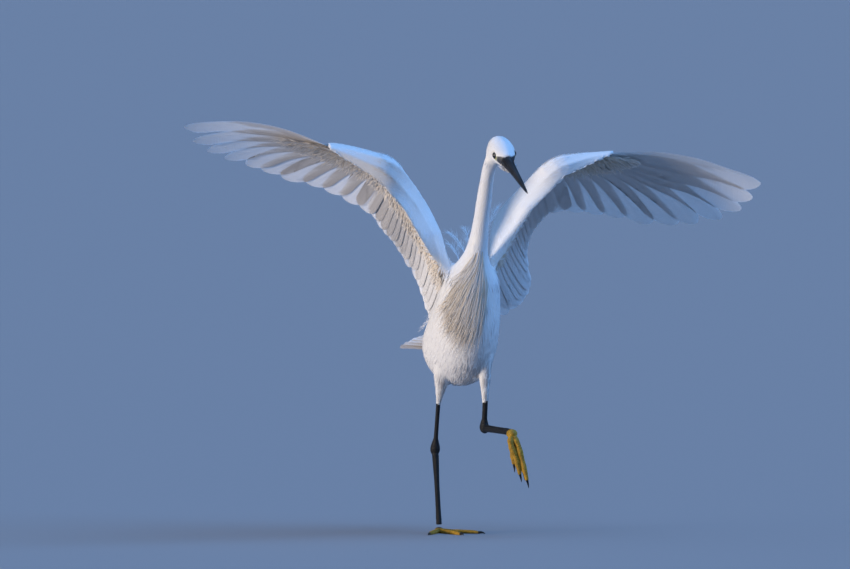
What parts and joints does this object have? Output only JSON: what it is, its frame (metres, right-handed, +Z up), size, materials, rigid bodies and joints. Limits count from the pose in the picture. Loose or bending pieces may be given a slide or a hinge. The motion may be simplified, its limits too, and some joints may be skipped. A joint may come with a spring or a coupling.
{
  "type": "little egret model",
  "caption": "Life-size still model of a little egret standing on one leg with both wings raised and the other foot lifted.",
  "frame": {"origin": "on the floor, at the middle of the flat sole under the ball of the standing right foot", "axes": "+Z up, -Y the way the bird faces, +X to the bird's left, along the spread wings"},
  "size_m": [0.7489, 0.414, 0.5261],
  "materials": {
    "white_plumage": "soft white feathers, faintly cream on the breast plumes and grey where thin",
    "black_leg_scales": "black scaled skin, half gloss",
    "yellow_foot_skin": "greenish yellow scaled skin, damp",
    "black_claw": "dark horn",
    "black_bill": "black horn with a blue grey base, half gloss",
    "pale_yellow_eye": "wet clear eye with a pale yellow iris and a round black pupil"
  },
  "bodies": {
    "root": {"torso": "white_plumage", "neck_lower": "white_plumage", "neck_upper": "white_plumage", "head": "white_plumage", "tail": "white_plumage", "right_wing_upper_arm": "white_plumage", "right_wing_forearm": "white_plumage", "right_wing_hand": "white_plumage", "right_thigh": "white_plumage", "right_shin": "black_leg_scales", "right_tarsus": "black_leg_scales", "right_foot": "yellow_foot_skin", "right_toe_inner": "yellow_foot_skin", "right_claw_inner": "black_claw", "right_toe_middle": "yellow_foot_skin", "right_claw_middle": "black_claw", "right_toe_outer": "yellow_foot_skin", "right_claw_outer": "black_claw", "right_toe_hind": "yellow_foot_skin", "right_claw_hind": "black_claw", "eye_right": "pale_yellow_eye", "left_wing_upper_arm": "white_plumage", "left_wing_forearm": "white_plumage", "left_wing_hand": "white_plumage", "left_thigh": "white_plumage", "left_shin": "black_leg_scales", "left_tarsus": "black_leg_scales", "left_foot": "yellow_foot_skin", "left_toe_inner": "yellow_foot_skin", "left_claw_inner": "black_claw", "left_toe_middle": "yellow_foot_skin", "left_claw_middle": "black_claw", "left_toe_outer": "yellow_foot_skin", "left_claw_outer": "black_claw", "left_toe_hind": "yellow_foot_skin", "left_claw_hind": "black_claw", "eye_left": "pale_yellow_eye", "bill_upper": "black_bill", "bill_lower": "black_bill"}
  },
  "joints": []
}
